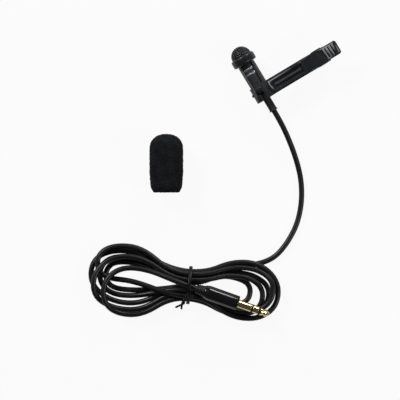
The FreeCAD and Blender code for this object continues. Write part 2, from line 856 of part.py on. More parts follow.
def make_hinge():
    pin = doc.addObject("Part::Cylinder", "hinge_pin")
    pin.setExpression("Radius", bound("pin_od / 2"))
    pin.setExpression("Height", bound("hinge_width"))
    x, z = "hinge_reach", "hinge_height"
    pin.Placement = Placement(Vector(), Rotation(Vector(1, 0, 0), -90))
    tilt = clip_tilt
    pin.setExpression("Placement.Base.x", bound(f"mic_x + {x} * cos({tilt}) + {z} * sin({tilt})"))
    pin.setExpression("Placement.Base.y", bound(f"{clip_y} - hinge_width / 2"))
    pin.setExpression("Placement.Base.z", bound(f"{axis_z} - {x} * sin({tilt}) + {z} * cos({tilt})"))
    keep(pin, "hinge_pin")

    wire = number("spring_wire")
    coil_r = number("(spring_od - spring_wire) / 2")
    low, turn = math.radians(number("spring_low")), math.radians(number("spring_turn"))
    pitch = number("spring_pitch")
    start = Vector(number(x), -pitch * turn / (4 * math.pi), number(z))
    out = Vector(math.cos(low), 0, -math.sin(low))
    stations = helix(start, Vector(0, 1, 0), out, coil_r, pitch, turn)
    first, last = stations[0], stations[-1]
    edges = [Part.LineSegment(first[0] - first[1] * number("spring_leg_low"), first[0]).toShape()]
    edges += chained(stations)
    edges.append(Part.LineSegment(last[0], last[0] + last[1] * number("spring_leg_high")).toShape())
    solid, length, expected = tube(edges, wire, 6)
    line = Part.Wire(edges).discretize(Distance=0.1)
    print(f"spring: {length:.1f} mm of wire, least gap to itself {least_gap(line, wire):.2f} mm")
    at_clip(formed("clip_spring", solid))


# Windscreen


def make_windscreen():
    r = "screen_od / 2"
    dome = f"(screen_length - {r})"
    foot = "screen_foot_od / 2"
    bands = int(number("screen_bands"))
    leans = [f"({90 * k / (bands + 0.5)})" for k in range(1, bands + 1)]
    screen = turned("windscreen", [
        ("screen_bore / 2", "0"),
        (f"{foot} - screen_corner", "0"),
        (foot, "screen_corner"),
        (r, "screen_flare"),
        (r, dome),
    ] + [
        (f"{r} * cos({lean})", f"{dome} + {r} * sin({lean})") for lean in leans[:-1]
    ] + [
        (f"{r} * cos({leans[-1]})", "screen_length"),
        ("0", "screen_length"),
        ("0", "screen_depth"),
        ("screen_bore / 2", "screen_depth"),
    ])
    screen.Placement = Placement(Vector(), Rotation(Vector(0, 0, -1), 1))
    screen.setExpression("Placement.Rotation.Angle", bound("90 - screen_turn"))
    back = "screen_length / 2"
    screen.setExpression("Placement.Base.x", bound(f"screen_x - {back} * cos(screen_turn)"))
    screen.setExpression("Placement.Base.y", bound(f"screen_y - {back} * sin(screen_turn)"))
    screen.setExpression("Placement.Base.z", bound(r))


# Hank


def hank_place(piece):
    place(piece, "tie_x", "tie_y", "0", (0, 0, -1), "hank_turn")
    return piece


def hank_point(x, y, z):
    """A point of the hank, which is drawn about its tie, in the part's own frame."""
    turn = Rotation(Vector(0, 0, -1), number("hank_turn"))
    return turn.multVec(Vector(x, y, z)) + Vector(number("tie_x"), number("tie_y"), 0)


def hank_stations():
    """Where the cable passes crest, waist and lobe end, loop after loop, and which way it heads."""
    step = number("cable_od + hank_gap")
    low = number("cable_od / 2")
    lift = number("waist_lift")
    right, left = number("hank_right"), number("hank_left")
    crest_right, crest_left = number("crest_right"), number("crest_left")
    lobe_right, lobe_left, waist = number("lobe_right"), number("lobe_left"), number("waist_half")
    east, west = Vector(1, 0, 0), Vector(-1, 0, 0)
    north, south = Vector(0, 1, 0), Vector(0, -1, 0)
    stops = [
        (lambda d: (crest_right, lobe_right - d), west, 0),
        (lambda d: (0, waist - d), west, lift),
        (lambda d: (-crest_left, lobe_left - d), west, 0),
        (lambda d: (-left + d, 0), south, 0),
        (lambda d: (-crest_left, -lobe_left + d), east, 0),
        (lambda d: (0, -waist + d), east, lift),
        (lambda d: (crest_right, -lobe_right + d), east, 0),
        (lambda d: (right - d, 0), north, 0),
    ]
    # The loops go in for two and a half turns, climb a layer while they turn back, and come out again.
    # The last one climbs once more along a run, so that the plug's end lies on top.
    stations = []
    for i in range(LOOP_STOPS + 5):
        layer = min(1.0, max(0, i - REVERSAL) / 2)
        depth = min(i, LOOP_STOPS - i) / 8
        if i == REVERSAL + 1:
            depth += 0.25
        if i == LOOP_STOPS + 1:
            depth = -0.3
        if i > LOOP_STOPS + 1:
            layer, depth = 2.0, 0.0
        where, heading, rise = stops[i % 8]
        x, y = where(depth * step)
        stations.append((Vector(x, y, low + layer * step + rise), heading))
    return stations


def plug_start():
    """Where the cable meets the plug's relief, in the hank's own drawing, and which way the plug points."""
    turn, dip = math.radians(number("plug_turn")), math.radians(number("plug_dip"))
    way = Vector(math.cos(dip) * math.cos(turn), -math.cos(dip) * math.sin(turn), -math.sin(dip))
    return Vector(number("plug_x"), number("plug_y"), number("plug_z")), way


def lobe_share(a, b):
    """The share that keeps a lobe's quarter turns parallel, loop beside loop."""
    end, crest = (a, b) if abs(a.y) < abs(b.y) else (b, a)
    side = "right" if crest.x > 0 else "left"
    wide = number(f"hank_{side} - crest_{side}")
    tall = number(f"lobe_{side}")
    inward = (wide - abs(end.x - crest.x) + tall - abs(crest.y)) / 2
    tangent = (math.sqrt((wide + tall) ** 2 + 2 * (wide**2 + tall**2)) - wide - tall) / 2
    lean = math.atan2(tall - tangent, wide - tangent)
    flat, round_ = math.tan(lean / 2), math.tan((math.pi / 2 - lean) / 2)
    share = (tangent / flat - inward) * flat / ((tangent / round_ - inward) * round_)
    return share if crest is a else 1 / share


def make_hank():
    cable, sides = number("cable_od"), int(number("cable_sides"))
    stations = hank_stations()
    first, heading = stations[0]
    edges = [Part.LineSegment(first - heading * cable, first).toShape()]
    step = number("cable_od + hank_gap")
    for (a, go), (b, arrive) in zip(stations, stations[1:]):
        if go.cross(arrive).Length > 0.5:
            share = lobe_share(a, b)
        else:
            dx, dy = abs(b.x - a.x), abs(abs(b.y) - abs(a.y))
            lean = 2 * math.atan2(dy, dx)
            half = dx / math.sin(lean) / 2
            waist_y = min(abs(a.y), abs(b.y))
            shift = waist_y - (number("waist_half") - step)
            near, far = half - shift, half + shift
            share = near / far if abs(a.x) < abs(b.x) else far / near
        edges += biarc(a, go, b, arrive, share)
    end, way = plug_start()
    last, go = stations[-1]
    edges += biarc(last, go, end - way * cable, way)
    edges.append(Part.LineSegment(end - way * cable, end).toShape())
    solid, length, expected = tube(edges, cable, sides)
    print(f"hank: {length:.0f} mm of cable, volume {solid.Volume:.1f}, section times length {expected:.1f}")
    line = Part.Wire(edges).discretize(Distance=1.0)
    print(f"hank: least gap to itself {least_gap(line, cable):.2f} mm")
    hank_place(formed("cable_hank", solid))
    return Part.Wire(edges)


def make_lead():
    cable, sides = number("cable_od"), int(number("cable_sides"))
    start = Vector(number("mic_x"), number("collar_y - boot_end"), number(axis_z))
    first, heading = hank_stations()[0]
    join = first - heading * cable
    before = join - heading * number("lead_run")
    points = [start] + [Vector(*p) for p in LEAD_POINTS]
    points += [hank_point(before.x, before.y, before.z), hank_point(join.x, join.y, join.z)]
    edges, radii = routed(points)
    solid, length, expected = tube(edges, cable, sides)
    print("lead: radii " + ", ".join(f"{r:.0f}" for r in radii))
    print(f"lead: {length:.0f} mm, volume {solid.Volume:.1f}, section times length {expected:.1f}")
    formed("cable_lead", solid)


def hull(points):
    """The convex outline round (y, z) points, in order."""
    def half(row):
        line = []
        for p in row:
            while len(line) > 1 and (
                (line[-1][0] - line[-2][0]) * (p[1] - line[-2][1])
                <= (line[-1][1] - line[-2][1]) * (p[0] - line[-2][0])
            ):
                line.pop()
            line.append(p)
        return line[:-1]
    row = sorted(points)
    return half(row) + half(row[::-1])


def make_tie(cord):
    """A band drawn tight round every run at the waist, with its two ends twisted together."""
    gap, wall, width = number("band_gap"), number("band_thickness"), number("band_width")
    strands = {
        (round(p.y, 1), round(p.z, 1)) for p in cord.discretize(Distance=0.5) if abs(p.x) < width / 2 + gap
    }
    corners = [Vector(0, y, z) for y, z in hull(strands)]
    line = Part.makePolygon(corners + corners[:1])
    reach = number("cable_od / 2") + gap
    inner, outer = line.makeOffset2D(reach, 2), line.makeOffset2D(reach + wall, 2)
    band = Part.Face(outer).cut(Part.Face(inner)).extrude(Vector(width, 0, 0))
    band.translate(Vector(-width / 2, 0, 0))

    wire, turn = number("twist_wire"), 2 * math.pi * number("twist_turns")
    way = Vector(*[number(f"twist_{letter}") for letter in "xyz"]).normalize()
    start = Vector(0, number("twist_start_y"), number("twist_start_z"))
    out = way.cross(Vector(0, 0, 1)).normalize()
    wire_r = number("twist_wire / 2 + fit_gap")
    for side, spread in ((1, "tail_left"), (-1, "tail_right")):
        stations = helix(start, way, out * side, wire_r, number("twist_pitch"), turn)
        stations = [(p, h if 0 < i < len(stations) - 1 else way) for i, (p, h) in enumerate(stations)]
        bend = Rotation(Vector(0, 0, 1), number(spread))
        tail_way = bend.multVec(Vector(way.x, way.y, way.z * number("tail_dip"))).normalize()
        last = stations[-1][0]
        tail = last + (way + tail_way).normalize() * number("tail_length")
        stations.append((tail, tail_way))
        band = band.fuse(tube(chained(stations), wire, 4)[0])
    hank_place(formed("hank_tie", band))


# Plug


def at_plug(piece):
    """Stands a turned piece of the plug on the plug's axis."""
    end, way = plug_start()
    turn = Rotation(Vector(0, 0, -1), number("hank_turn"))
    lying = Rotation(Vector(0, 1, 0), turn.multVec(way))
    piece.Placement = Placement(hank_point(end.x, end.y, end.z), lying)
    return piece


def make_plug():
    grip_start = "relief_length"
    grip_end = "(relief_length + handle_length)"
    corners = [("0", "0"), ("relief_od / 2", "0")]
    grooves = int(number("relief_grooves"))
    for i in range(grooves):
        middle = f"relief_length * {(i + 0.5) / grooves}"
        r = f"(relief_od + (relief_end_od - relief_od) * {(i + 0.5) / grooves}) / 2"
        corners += [
            (r, f"{middle} - relief_groove_width / 2"),
            (f"{r} - relief_groove", middle),
            (r, f"{middle} + relief_groove_width / 2"),
        ]
    corners += [("relief_end_od / 2", grip_start), ("0", grip_start)]
    at_plug(turned("plug_relief", corners))
    at_plug(turned("plug_handle", [
        ("0", grip_start),
        ("handle_back_od / 2", grip_start),
        ("handle_od / 2", f"{grip_start} + handle_taper"),
        ("handle_od / 2", f"{grip_end} - handle_chamfer"),
        ("handle_od / 2 - handle_chamfer", grip_end),
        ("0", grip_end),
    ]))

    # Contacts and insulators are threaded on the tip's rod, which runs back into the handle.
    ends = [grip_end]
    for length in ("contact_sleeve", "contact_gap", "contact_ring", "contact_gap", "contact_tip"):
        ends.append(f"({ends[-1]} + {length})")
    rod, bore, full = "tip_rod_od / 2", "tip_rod_od / 2 + fit_gap", "pin_plug_od / 2"
    labels = ("plug_sleeve", "plug_rear_insulator", "plug_ring", "plug_front_insulator")
    for label, low, high in zip(labels, ends, ends[1:]):
        at_plug(turned(label, [(bore, low), (full, low), (full, high), (bore, high)]))
    shares = ("tip_waist_share", "tip_shoulder_share")
    waist, shoulder = (f"({ends[4]} + contact_tip * {share})" for share in shares)
    at_plug(turned("plug_tip", [
        ("0", ends[0]),
        (rod, ends[0]),
        (rod, ends[4]),
        ("tip_od / 2", ends[4]),
        ("tip_neck_od / 2", waist),
        ("tip_od / 2", shoulder),
        ("tip_nose_od / 2", ends[5]),
        ("0", ends[5]),
    ]))


def main():
    make_head()
    make_barrel()
    make_clip()
    make_windscreen()
    make_tie(make_hank())
    make_lead()
    make_plug()
    doc.recompute()
    for piece in doc.Objects:
        if any(word in ("Invalid", "Error") for word in piece.State):
            raise SystemExit(f"{piece.Label} failed: {piece.State}")
    for piece in PARTS:
        if piece.Shape.isNull() or not piece.Shape.isValid():
            raise SystemExit(f"{piece.Label} has no valid shape")
        if not piece.Shape.Solids:
            raise SystemExit(f"{piece.Label} holds no solid")
    os.makedirs("parts", exist_ok=True)
    for piece in PARTS:
        piece.Shape.exportStep(f"parts/{piece.Label}.step")
    print(f"{len(PARTS)} pieces written")


main()
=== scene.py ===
import json
import math

import bpy
from mathutils import Matrix, Vector


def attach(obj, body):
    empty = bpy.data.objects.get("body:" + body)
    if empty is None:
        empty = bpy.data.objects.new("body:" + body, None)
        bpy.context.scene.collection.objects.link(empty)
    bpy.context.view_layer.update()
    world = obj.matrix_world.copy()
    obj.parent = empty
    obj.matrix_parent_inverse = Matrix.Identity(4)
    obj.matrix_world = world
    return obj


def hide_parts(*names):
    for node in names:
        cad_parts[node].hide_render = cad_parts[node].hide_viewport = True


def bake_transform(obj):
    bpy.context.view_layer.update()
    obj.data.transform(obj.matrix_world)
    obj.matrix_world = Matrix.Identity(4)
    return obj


# Lavalier microphone with its clip, tied cable, stereo plug and foam windscreen, laid flat on a pale table.
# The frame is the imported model's, in metres: X along the clip, Y along the head, Z up.
# Sizes are named in millimetres.

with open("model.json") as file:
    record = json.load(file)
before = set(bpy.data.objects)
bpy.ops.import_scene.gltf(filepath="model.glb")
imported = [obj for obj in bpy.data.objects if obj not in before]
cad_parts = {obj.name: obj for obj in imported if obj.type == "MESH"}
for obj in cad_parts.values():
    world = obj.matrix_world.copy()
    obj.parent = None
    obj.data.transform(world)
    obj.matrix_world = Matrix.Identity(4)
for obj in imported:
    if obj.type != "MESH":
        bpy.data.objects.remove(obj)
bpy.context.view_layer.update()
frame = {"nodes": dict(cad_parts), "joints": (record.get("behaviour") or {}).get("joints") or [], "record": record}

SCENE = bpy.context.scene
MM = 0.001
UPWARD = Vector((0, 0, 1))

# Middle of the collar's rear face, and the raised bands round the barrel by how far they lie behind it.
HEAD_Y = 12.1
MIC = Vector((12.6, HEAD_Y, 5.25))
LANDS = [(2.2, 3.0), (4.5, 5.3), (11.6, 12.4)]


def put(name, data):
    """A new object in the scene that shows this data."""
    obj = bpy.data.objects.new(name, data)
    SCENE.collection.objects.link(obj)
    return obj


# Shading

MATERIALS = {}

# Noise lies for the most part between these two values.
NOISE_LOW, NOISE_HIGH = 0.3, 0.7
# The Mix node's sockets for colours, which share their names with those for numbers.
MIX_SHARE, MIX_FROM, MIX_TO, MIX_RESULT = 0, 6, 7, 2


class Socket:
    """An output of a shader node, which Python's own operators feed into further nodes."""

    def __init__(self, tree, out=None):
        self.tree = tree
        self.out = out

    def node(self, kind, settings=None, inputs=None, output=0):
        """The output of a new node of this type, with its settings and its sockets' values or links."""
        made = self.tree.nodes.new("ShaderNode" + kind)
        for key, value in (settings or {}).items():
            setattr(made, key, value)
        for key, value in (inputs or {}).items():
            if isinstance(value, Socket):
                self.tree.links.new(value.out, made.inputs[key])
            else:
                made.inputs[key].default_value = value
        return Socket(self.tree, made.outputs[output] if made.outputs else None)

    def math(self, kind, first, second=0.0):
        return self.node("Math", {"operation": kind}, {0: first, 1: second})

    def __add__(self, other):
        return self.math("ADD", self, other)

    def __radd__(self, other):
        return self.math("ADD", other, self)

    def __sub__(self, other):
        return self.math("SUBTRACT", self, other)

    def __rsub__(self, other):
        return self.math("SUBTRACT", other, self)

    def __mul__(self, other):
        return self.math("MULTIPLY", self, other)

    def __rmul__(self, other):
        return self.math("MULTIPLY", other, self)

    def __abs__(self):
        return self.math("ABSOLUTE", self)

    def most(self, other):
        """The larger of two values."""
        return self.math("MAXIMUM", self, other)

    def spread(self, start, end, low, high):
        """Turns the values from start to end into those from low to high."""
        return self.node("MapRange", None, {
            "Value": self,
            "From Min": start,
            "From Max": end,
            "To Min": low,
            "To Max": high,
        })

    def vary(self, low, high):
        """Turns a noise into values from low to high."""
        return self.spread(NOISE_LOW, NOISE_HIGH, low, high)

    def between(self, a, b):
        """The colour from a to b that this share picks."""
        inputs = {MIX_SHARE: self, MIX_FROM: a, MIX_TO: b}
        return self.node("Mix", {"data_type": "RGBA"}, inputs, MIX_RESULT)


def grey(value):
    return (value, value, value, 1)


def black(value):
    """A near black with a slightly cool cast."""
    return (value * 0.92, value * 0.98, value * 1.14, 1)


def new_material(name):
    """Adds an empty material to the table and gives the start for its nodes."""
    material = bpy.data.materials.new(name)
    material.use_nodes = True
    material.node_tree.nodes.clear()
    MATERIALS[name] = material
    return Socket(material.node_tree)


def place(s, stretch=(1, 1, 1)):
    """The surface's place in the object's own space, stretched where a grain runs one way."""
    here = s.node("TexCoord", output="Object")
    return s.node("Mapping", None, {"Vector": here, "Scale": stretch})


def noise(s, cells, detail=3.0, stretch=(1, 1, 1)):
    """Noise with this many cells in a metre."""
    return s.node("TexNoise", None, {"Vector": place(s, stretch), "Scale": cells, "Detail": detail})


def shell(s, colour, rough, height, depth, metallic=0.0, shine=0.5, coat=0.0):
    """The surface itself, with its grain's height as a bump of the given depth in millimetres."""
    bump = s.node("Bump", None, {"Strength": 1.0, "Distance": depth * MM, "Height": height})
    surface = s.node("BsdfPrincipled", None, {
        "Base Color": colour,
        "Roughness": rough,
        "Metallic": metallic,
        "Specular IOR Level": shine,
        "Coat Weight": coat,
        "Coat Roughness": 0.1,
        "Normal": bump,
    })
    s.node("OutputMaterial", None, {"Surface": surface})


# How sharp an edge is where its wear and painted highlight begin and where they are full, and how much paler it is
# there.
WEAR_AND_HIGHLIGHT_BEGINS, WEAR_AND_HIGHLIGHT_FULL = 0.54, 0.61
PALE_TIMES, PALE_MORE = 2.5, 0.36


def worn_and_highlit(s, colour, amount):
    """The colour, paler where an edge stands out: a painted highlight along the edge, with some wear."""
    # Pointiness lightens the sharp edges: mostly a painted highlight, partly wear.
    edge = s.node("NewGeometry", output="Pointiness").spread(WEAR_AND_HIGHLIGHT_BEGINS, WEAR_AND_HIGHLIGHT_FULL, 0.0, amount)
    highlight_and_wear_colour = [min(1.0, c * PALE_TIMES + PALE_MORE) for c in colour[:3]] + [1]
    return edge.between(colour, highlight_and_wear_colour)


def tinted(s, colour, share, mottle):
    """A colour that grows lighter and darker by the mottle with this share."""
    light = share.vary(1 - mottle, 1 + mottle)
    if not isinstance(colour, Socket):
        colour = colour[:3]
    return s.node("VectorMath", {"operation": "MULTIPLY"}, {0: colour, 1: light})


# Cells in a metre of a moulding's unevenness, and how far its gloss falls and rises with it.
MOULD_CELLS, MOULD_DULLS, MOULD_SHINES = 220, 1.15, 0.85
# The same for the marks of a metal's making.
MARK_CELLS, MARK_DULLS, MARK_SHINES = 1800, 1.25, 0.8


def moulded(name, colour, rough, grain=2400, depth=0.012, wear_and_highlight=0.0, shine=0.4, coat=0.0, mottle=0.2):
    """Moulded plastic or rubber: a fine even grain, a little uneven in gloss."""
    s = new_material(name)
    broad = noise(s, MOULD_CELLS)
    base = worn_and_highlit(s, colour, wear_and_highlight) if wear_and_highlight else colour
    gloss = broad.vary(rough * MOULD_SHINES, rough * MOULD_DULLS)
    shell(s, tinted(s, base, broad, mottle), gloss, noise(s, grain), depth, shine=shine, coat=coat)


def tool_marks(s, stretch):
    """Fine marks of the making, drawn out one way."""
    return noise(s, MARK_CELLS, 4.0, stretch)


def metal(name, colour, rough, stretch=(1, 1, 1), depth=0.002, metallic=1.0, wear_and_highlight=0.0, mottle=0.1):
    """Bare or coated metal with the marks of its making."""
    s = new_material(name)
    marks = tool_marks(s, stretch)
    base = worn_and_highlit(s, colour, wear_and_highlight) if wear_and_highlight else colour
    gloss = marks.vary(rough * MARK_SHINES, rough * MARK_DULLS)
    shell(s, tinted(s, base, marks, mottle), gloss, marks, depth, metallic)


# Stretch of the marks on pieces turned round the head's axle, and on the plug's contacts.
TURNED = (0.15, 2.5, 0.15)
PLUG_DRAWN = (0.6, 0.6, 1.0)

BRIGHT_LANDS = LANDS[:2]
BRIGHT_HALF, BRIGHT_FADES = 0.3, 0.42


def barrel_finish():
    """Black anodised tube whose two front lands have been turned bright."""
    s = new_material("barrel_metal")
    marks = tool_marks(s, TURNED)
    along = s.node("SeparateXYZ", None, {"Vector": place(s)}, "Y")
    bright = 0.0
    for front, rear in BRIGHT_LANDS:
        middle = (HEAD_Y - (front + rear) / 2) * MM
        bright = abs(along - middle).spread(BRIGHT_HALF * MM, BRIGHT_FADES * MM, 1.0, 0.0) + bright
    colour = bright.between(tinted(s, black(0.035), marks, mottle=0.2), grey(0.62))
    shell(s, colour, marks.vary(0.3, 0.4), marks, depth=0.002, metallic=bright * 0.9)


# Noise values where a scuff begins and is full, and how far it shows.
SCUFF_BEGINS, SCUFF_FULL, SCUFF_SHARE = 0.62, 0.75, 0.35


def cable_finish():
    """Satin rubbery jacket with faint scuffs."""
    s = new_material("cable_jacket")
    broad = noise(s, cells=90, detail=4.0)
    scuff = noise(s, cells=1400, detail=5.0).spread(SCUFF_BEGINS, SCUFF_FULL, 0.0, 1.0)
    colour = (scuff * SCUFF_SHARE).between(tinted(s, black(0.006), broad, mottle=0.3), grey(0.025))
    shell(s, colour, broad.vary(0.36, 0.46), noise(s, cells=2600), depth=0.006, shine=0.34)


# Foam cells in a metre, how far from a cell's middle its pore, painted dark as shade, ends and its web is full,
# and its fraying.
FOAM_CELLS, PORE_ENDS, WEB_FULL, FRAYING = 2300, 0.15, 0.6, 0.4


def foam_finish():
    """Open-cell foam: pores painted dark as the shade inside them, between thin webs."""
    s = new_material("foam")
    cells = s.node("TexVoronoi", {"feature": "F1"}, {"Vector": place(s), "Scale": FOAM_CELLS})
    # Painted shade: each cell's pore is darkened, as where shade falls into it.
    pore_shade = cells.spread(PORE_ENDS, WEB_FULL, 0.0, 1.0)
    web = tinted(s, black(0.0115), noise(s, cells=300), mottle=0.35)
    colour = pore_shade.between(grey(0.003), web)
    shell(s, colour, 1.0, cells + noise(s, cells=5000) * FRAYING, depth=0.16, shine=0.15)


def felt_finish():
    """Matted fibres."""
    s = new_material("felt")
    fibres = noise(s, cells=4200, detail=6.0)
    shell(s, tinted(s, black(0.012), fibres, mottle=0.5), 0.95, fibres, depth=0.05, shine=0.1)


# The wear amounts below also paint a highlight along the sharp edges.
metal("black_metal", black(0.01), 0.34, TURNED, depth=0.004, metallic=0.0, wear_and_highlight=0.4)
metal("grille_metal", black(0.015), 0.34, depth=0.003, metallic=0.3, wear_and_highlight=0.25)
metal("capsule_metal", grey(0.5), 0.3, TURNED)
felt_finish()
moulded("black_rubber", black(0.012), 0.45, grain=2200)
moulded("board", (0.02, 0.12, 0.05, 1), 0.4)
barrel_finish()
metal("crimp_metal", grey(0.55), 0.3)
cable_finish()
moulded("red_insulation", (0.4, 0.02, 0.015, 1), 0.5)
metal("copper", (0.7, 0.35, 0.2, 1), 0.3)
# The clip's sharp edges get a strong painted highlight, with some wear.
moulded("clip_plastic", black(0.018), 0.3, grain=2600, depth=0.006, wear_and_highlight=0.8)
metal("steel", grey(0.5), 0.28)
foam_finish()
moulded("tie_plastic", black(0.004), 0.42, grain=1500, depth=0.02, shine=0.25)
moulded("plug_rubber", black(0.01), 0.4, grain=2200, depth=0.008)
moulded("plug_plastic", black(0.006), 0.18, grain=1600, depth=0.003, coat=0.3, mottle=0.1)
metal("gold", (0.88, 0.73, 0.39, 1), 0.2, PLUG_DRAWN, depth=0.0015, mottle=0.05)
moulded("insulator", black(0.01), 0.4)
# The jaw lies under the lever, so its edges get less of the painted highlight and wear than the rest of the clip's
# plastic, and it stays darker.
moulded("jaw_plastic", black(0.018), 0.3, grain=2600, depth=0.006, wear_and_highlight=0.22)

for entry in frame["record"]["subparts"]:
    node = frame["nodes"][entry["node"]]
    node.data.materials.clear()
    node.data.materials.append(MATERIALS[entry["material_slot"]])


# Camera, straight above as in the photograph

# The photograph's right and up on the table, what it has in its middle, and the width it takes in.
RIGHT = Vector((0.857, -0.515, 0))
UP = Vector((0.515, 0.857, 0))
MIDDLE = Vector((-33.9, -27.5, 5)) * MM
WIDTH = 170 * MM
DISTANCE = 1.6
SIGHT = 20
SENSOR = 36


def add_camera():
    data = bpy.data.cameras.new("camera")
    data.sensor_width = SENSOR
    data.lens = SENSOR * DISTANCE / WIDTH
    data.clip_end = SIGHT
    camera = put("camera", data)
    turn = Matrix((RIGHT, UP, UPWARD)).transposed().to_4x4()
    camera.matrix_world = Matrix.Translation(MIDDLE + UPWARD * DISTANCE) @ turn
    SCENE.camera = camera


add_camera()


# Modelling by hand

# Points this near are merged, faces this flat are made one, and edges sharper than this are rounded.
MERGE = 0.002 * MM
FLAT = math.radians(1)
SHARP = math.radians(28)
ARC_STEPS = 4


def clear_selection():
    for obj in bpy.context.selected_objects:
        obj.select_set(False)


def take(piece):
    """Makes a piece the only one selected."""
    clear_selection()
    piece.select_set(True)
    bpy.context.view_layer.objects.active = piece


def open_mesh(piece):
    """Starts to edit a piece, with its whole mesh selected."""
    take(piece)
    bpy.ops.object.mode_set(mode="EDIT")
    bpy.ops.mesh.select_all(action="SELECT")


def close_mesh():
    bpy.ops.object.mode_set(mode="OBJECT")


def face_outwards():
    """Turns all faces of the mesh that is open the right way."""
    bpy.ops.mesh.select_all(action="SELECT")
    bpy.ops.mesh.normals_make_consistent(inside=False)


def settle():
    """Moves a new primitive's place and turn into its mesh."""
    bpy.ops.object.transform_apply(location=True, rotation=True, scale=True)
    return bpy.context.object


def apply(piece, kind, **settings):
    """Adds a modifier and applies it."""
    take(piece)
    modifier = piece.modifiers.new(kind.lower(), kind)
    for key, value in settings.items():
        setattr(modifier, key, value)
    bpy.ops.object.modifier_apply(modifier=modifier.name)


def to_mesh(curve):
    take(curve)
    bpy.ops.object.convert(target="MESH")
    return bpy.context.object


def smooth(piece, angle=32):
    take(piece)
    bpy.ops.object.shade_smooth_by_angle(angle=math.radians(angle))


def soften(piece, width):
    """Rounds the sharp edges by a width in millimetres."""
    apply(
        piece, "BEVEL", width=width * MM, segments=3, limit_method="ANGLE", angle_limit=SHARP,
        use_clamp_overlap=True,
    )
    smooth(piece, 36)


def keep(piece, name, slot, *nodes, body="microphone", finish=None):
    """Names a finished piece, gives it its material and lets it stand for the CAD nodes.

    It rides on its body, if it has one. Its material is its slot's own, unless a finish is named.
    """
    piece.name = name
    piece.data.name = name
    piece.data.materials.clear()
    piece.data.materials.append(MATERIALS[finish or slot])
    if body:
        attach(piece, body)
    if nodes:
        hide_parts(*nodes)
    return piece


def rounded(corners):
    """The points of a profile of (along, radius, rounding), each corner turned into an arc."""
    points = []
    last = len(corners) - 1
    for i, (x, y, rounding) in enumerate(corners):
        here = Vector((x, y))
        if not rounding or i in (0, last):
            points.append(here)
            continue
        back = (Vector(corners[i - 1][:2]) - here).normalized()
        on = (Vector(corners[i + 1][:2]) - here).normalized()
        half = back.angle(on) / 2
        reach = rounding / math.tan(half)
        middle = here + (back + on).normalized() * (rounding / math.sin(half))
        start = (here + back * reach - middle).normalized()
        end = (here + on * reach - middle).normalized()
        points += [middle + start.slerp(end, k / ARC_STEPS) * rounding for k in range(ARC_STEPS + 1)]
    return points


def lathe(axle, corners, turn_steps=72):
    """A turned piece: its closed profile, extruded point by point, spun round its axle."""
    origin, along, side = axle
    profile = rounded(corners)
    profile.append(profile[0])
    places = [origin + along * (p.x * MM) + side * (p.y * MM) for p in profile]
    clear_selection()
    bpy.ops.mesh.primitive_plane_add(size=MM, location=places[0])
    piece = settle()
    open_mesh(piece)
    bpy.ops.mesh.merge(type="CENTER")
    for a, b in zip(places, places[1:]):
        bpy.ops.mesh.extrude_region_move(TRANSFORM_OT_translate={"value": b - a})
    bpy.ops.mesh.select_all(action="SELECT")
    bpy.ops.mesh.spin(steps=turn_steps, angle=math.tau, center=origin, axis=along)
    bpy.ops.mesh.select_all(action="SELECT")
    bpy.ops.mesh.remove_doubles(threshold=MERGE)
    face_outwards()
    close_mesh()
    smooth(piece)
    return piece


def copy_of(node):
    """A copy of a CAD node's mesh with its corners merged and its flat faces whole."""
    piece = put(node, frame["nodes"][node].data.copy())
    open_mesh(piece)
    bpy.ops.mesh.remove_doubles(threshold=MERGE)
    bpy.ops.mesh.dissolve_limited(angle_limit=FLAT)
    close_mesh()
    return piece


# Cable: one smooth line from the boot, in loops round the hank, to the plug

CABLE, LAYER = 2.3, 2.34
WIRE_STEPS = 6
BOOT_END = 23.2
LEAD_POINTS = [
    (12.6, -15.9, 5.25),
    (12.0, -23.5, 3.7),
    (10.35, -33.2, 1.7),
    (7.5, -42.5, 1.15),
    (2.7, -50.8, 1.15),
    (-3.6, -57.6, 1.15),
    (-10.8, -62.0, 1.15),
    (-17.8, -64.6, 1.15),
]
TIE = Vector((-56.4, -56.2, 0))
HANK_TURN = Matrix.Rotation(math.radians(-36), 3, "Z")
PLUG_START = Vector((2.87, -1.05, 9.0))
PLUG_TURN, PLUG_DIP = math.radians(14.6), math.radians(2)
PLUG_WAY = Vector((
    math.cos(PLUG_DIP) * math.cos(PLUG_TURN),
    -math.cos(PLUG_DIP) * math.sin(PLUG_TURN),
    -math.sin(PLUG_DIP),
))

# The hank's own places are along it, across it and the layer on which the cable lies.
HANK_ENTRY = [(31.5, 12.6, 0), (25.0, 10.6, 0)]
FIRST_STOP = (14.0, 7.0, 0)
ENTRY_WAY = Vector((-0.88, -0.47, 0))
CROSSING_WAY = Vector((-0.95, -0.3, 0))
WAIST_LIFT = 0.7
